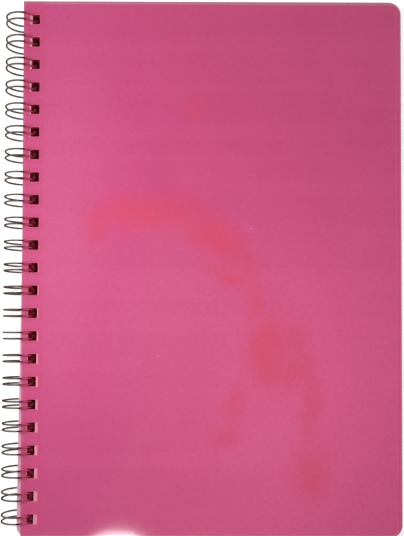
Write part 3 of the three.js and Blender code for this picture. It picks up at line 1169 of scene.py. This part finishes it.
# %% Wire metal
STEEL_GREY = linear(130, 119, 113)
STEEL_DEEP = linear(88, 79, 74)
MIRRORED_EDGE = linear(78, 18, 34)
MIRRORED_FACE = linear(188, 80, 108)
MIRRORED_WALL = linear(70, 10, 24)
MIRROR_SHARE = 0.94
OVER_EDGE_RAMP = (-1.8 * MM, 0.2 * MM)
OVER_FACE_RAMP = (1.0 * MM, 3.0 * MM)
ABOVE_ROOT_RAMP = (0.2 * MM, 0.8 * MM)
BELOW_AXIS_RAMP = (0.5 * MM, -1.5 * MM)
WIRE_GRAIN = {"Grain_Scale": 2200.0, "Cloud_Scale": 120.0, "Grain_Share": 0.4}
WIRE_SKIN = {"rough_spread": 0.25, "rough_low": 0.2, "strength": 0.15, "depth": 0.02 * MM}
GLANCING_TINT = (0.12, 0.1, 0.1, 1)


def mirrored(nodes, place, colour):
    """Lays on the reds that the wire mirrors over the cover and inside the holes"""
    split = nodes.split(place)
    past_edge = nodes.math("SUBTRACT", split["X"], front.origin.x)
    over_edge = nodes.ramp(past_edge, *OVER_EDGE_RAMP)
    over_face = nodes.ramp(past_edge, *OVER_FACE_RAMP)
    above_axis = nodes.math("SUBTRACT", split["Z"], ring_axis.z)
    above_paper = nodes.math("SUBTRACT", above_axis, paper_underside)
    in_block = nodes.math("MULTIPLY", nodes.ramp(above_paper, *ABOVE_ROOT_RAMP),
                          nodes.ramp(above_axis, *BELOW_AXIS_RAMP))
    in_hole = nodes.math("MULTIPLY", over_face, in_block)
    colour = nodes.tint(colour, MIRRORED_EDGE, over_edge, MIRROR_SHARE)
    colour = nodes.tint(colour, MIRRORED_FACE, over_face, MIRROR_SHARE)
    return nodes.tint(colour, MIRRORED_WALL, in_hole, MIRROR_SHARE)


def wire_material():
    """Dull drawn steel"""
    material, nodes, shader = new_material("dull_drawn_wire")
    place = nodes.add("ShaderNodeTexCoord", out="Object")
    grain = nodes.group(surface_grain, Vector=place, **WIRE_GRAIN)
    steel = nodes.blend(grain["Tone"], STEEL_GREY, STEEL_DEEP)
    nodes.feed(shader.inputs["Base Color"], mirrored(nodes, place, steel))
    roughen(nodes, shader, grain, **WIRE_SKIN)
    shader.inputs["Metallic"].default_value = 1.0
    shader.inputs["Specular Tint"].default_value = GLANCING_TINT
    return material


wire.data.materials.append(wire_material())
finish_piece(wire, "root", "wire", "twin_loop_wire")

# %% [markdown]
# The table and the light
#
# The notebook lies on a plain white table. The table is half paint and half a plain white
# glow that only the camera, reflections and see-through rays meet, so it stays white in the
# picture and still keeps the soft shadow of the notebook. Under the row of punched holes its
# paint is a painted shade, and its glow there is a dim red painted light, because a shaft of
# eighty holes ends there in the dark and little light but red comes down it.

# %% Table
FLOOR_SIZE = 6
TABLE_PAINT = (0.8, 0.8, 0.8, 1)
TABLE_GLOW = 0.62
# A dim painted red glow under the row of holes
SHAFT_RED_GLOW = linear(84, 9, 20)
SHAFT_MARGIN = 1.5 * MM
SHAFT_RAMP = (-1 * MM, -3 * MM)


def seen_rays(nodes):
    """1 for the rays of the camera, of reflections and through glass, and 0 for the rest"""
    path = nodes.tree.nodes.new("ShaderNodeLightPath")
    seen = nodes.math("MAXIMUM", path.outputs["Is Camera Ray"], path.outputs["Is Glossy Ray"])
    return nodes.math("MAXIMUM", seen, path.outputs["Is Transmission Ray"])


def table_material():
    """White paint with a plain glow, and under the row of holes a strip of painted shade with a dim red painted
    glow
    """
    material, nodes, shader = new_material("white_table")
    shader.inputs["Roughness"].default_value = 0.9
    shader.inputs["Specular IOR Level"].default_value = 0.1
    glow = nodes.math("MULTIPLY", seen_rays(nodes), TABLE_GLOW)
    nodes.feed(shader.inputs["Emission Strength"], glow)
    place = nodes.add("ShaderNodeTexCoord", out="Object")
    hole_side, inner_side = (first_sheet.origin.x + column for column in first_sheet.columns)
    strip = nodes.group(depth_in_rectangle, Vector=place, Low_X=hole_side - SHAFT_MARGIN,
                        High_X=inner_side, Low_Y=back.rows[0][0], High_Y=back.rows[-1][1])
    past_strip = nodes.ramp(strip["Depth"], *SHAFT_RAMP)
    underside = nodes.add("ShaderNodeNewGeometry", out="Backfacing")
    lit = nodes.math("MAXIMUM", past_strip, underside)
    # Painted shade and a dim painted red glow under the row of holes
    nodes.feed(shader.inputs["Base Color"], nodes.blend(lit, HOLE_SHADE, TABLE_PAINT))
    nodes.feed(shader.inputs["Emission Color"], nodes.blend(lit, SHAFT_RED_GLOW, (1, 1, 1, 1)))
    return material


bpy.ops.object.select_all(action="DESELECT")
bpy.ops.mesh.primitive_plane_add(size=FLOOR_SIZE, location=(0, 0, 0))
table = bpy.context.object
table.name = "table"
table.data.materials.append(table_material())
print("table, m:", [round(size, 2) for size in table.dimensions[:2]])

# %% [markdown]
# Lamps and sky
#
# The room could be lit by the sky alone, but then the whole cover would be equally bright.
# The sky here is bright near the horizon, which lights the edges of the paper and of the
# table, and dim overhead. A round soft lamp above the left half gives the cover most of its
# light. It lies on the spot that the cover would mirror, so reflections don't see it. A
# weaker lamp in the same place gives them a sheen instead. Past the bottom edge, a small
# window lamp with a faint halo adds the one bright glare there, where the real cover
# mirrors a window. Only reflections see these two.

# %% Sky
LOW_SKY = 1.8
HIGH_SKY = 0.14
HORIZON_RAMP = (0.5, 0.2)

world = bpy.data.worlds.new("studio")
world.use_nodes = True
world.node_tree.nodes.clear()
sky_nodes = Nodes(world.node_tree)
direction = sky_nodes.add("ShaderNodeTexCoord", out="Generated")
near_horizon = sky_nodes.ramp(sky_nodes.split(direction)["Z"], *HORIZON_RAMP)
light = sky_nodes.math("MULTIPLY_ADD", near_horizon, LOW_SKY - HIGH_SKY, HIGH_SKY)
seen = seen_rays(sky_nodes)
unseen = sky_nodes.math("SUBTRACT", 1.0, seen)
sky = world.node_tree.nodes.new("ShaderNodeBackground")
sky.inputs["Color"].default_value = (1, 1, 1, 1)
sky_nodes.feed(sky.inputs["Strength"], sky_nodes.math("MULTIPLY_ADD", unseen, light, seen))
sky_output = world.node_tree.nodes.new("ShaderNodeOutputWorld")
world.node_tree.links.new(sky.outputs[0], sky_output.inputs[0])
bpy.context.scene.world = world
print("sky:", LOW_SKY, "low and", HIGH_SKY, "high, and plain white where it is seen")


# %% Lamps
def lamp(name, place, target, size, power):
    """A soft elliptical lamp turned to its target, which the camera doesn't see"""
    data = bpy.data.lights.new(name, "AREA")
    data.shape = "ELLIPSE"
    data.size, data.size_y = size
    data.energy = power
    light = bpy.data.objects.new(name, data)
    light.location = place
    light.rotation_euler = (Vector(target) - Vector(place)).to_track_quat("-Z", "Y").to_euler()
    light.visible_camera = False
    bpy.context.scene.collection.objects.link(light)
    print(name, "gives", power, "W")
    return light


ABOVE_LEFT = (-0.072, 0.012, 0.29)
LEFT_HALF = (-0.072, 0.012, 0)
ROUND_LAMP = (0.16, 0.16)
WINDOW_PLACE = (-0.0765, -0.2413, 0.30)
BOTTOM_EDGE = (-0.0765, -0.155, 0.012)

soft_lamp = lamp("soft_lamp", ABOVE_LEFT, LEFT_HALF, ROUND_LAMP, 0.49)
soft_lamp.visible_glossy = False
lamp("sheen_lamp", ABOVE_LEFT, LEFT_HALF, ROUND_LAMP, 0.10)
for name, size, power in (("window_lamp", (0.050, 0.013), 0.125),
                          ("window_halo", (0.032, 0.036), 0.007)):
    window = lamp(name, WINDOW_PLACE, BOTTOM_EDGE, size, power)
    window.visible_diffuse = False
